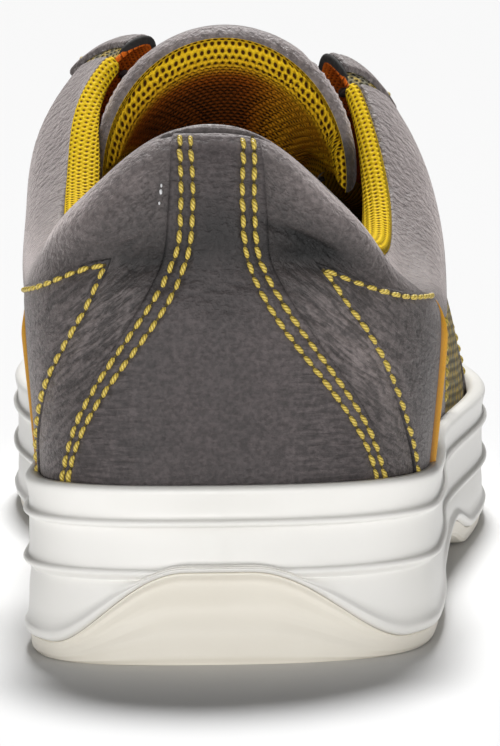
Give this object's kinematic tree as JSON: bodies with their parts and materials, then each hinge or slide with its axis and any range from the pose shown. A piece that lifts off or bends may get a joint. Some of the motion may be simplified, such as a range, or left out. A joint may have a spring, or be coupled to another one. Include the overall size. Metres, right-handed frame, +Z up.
{
  "type": "low lace-up safety shoe",
  "caption": "Low lace-up safety shoe for the right foot: hollow grey leather upper with padded collar, tongue and laces on a white cupped sole with a cream lugged tread.",
  "frame": {"origin": "middle of the shoe's bounding box in plan, on the floor plane under the tread", "axes": "+Y runs from heel to toe, +Z is up, +X is the outer (lateral) side of this right shoe"},
  "size_m": [0.1109, 0.3032, 0.1154],
  "materials": {
    "cream_tread": "matte moulded tread rubber",
    "white_sole": "satin moulded foam",
    "grey_leather": "pebbled grey nubuck leather",
    "yellow_lining": "open three-layer mesh",
    "dark_footbed": "flat felted footbed",
    "grey_lace": "round woven lace"
  },
  "bodies": {
    "root": {"outsole": "cream_tread", "midsole": "white_sole", "upper": "grey_leather", "collar_padding": "yellow_lining", "tongue": "grey_leather", "insole": "dark_footbed", "lace_bar": "grey_lace", "lace_cross_1": "grey_lace", "lace_cross_2": "grey_lace", "lace_cross_3": "grey_lace", "lace_cross_4": "grey_lace"}
  },
  "joints": []
}
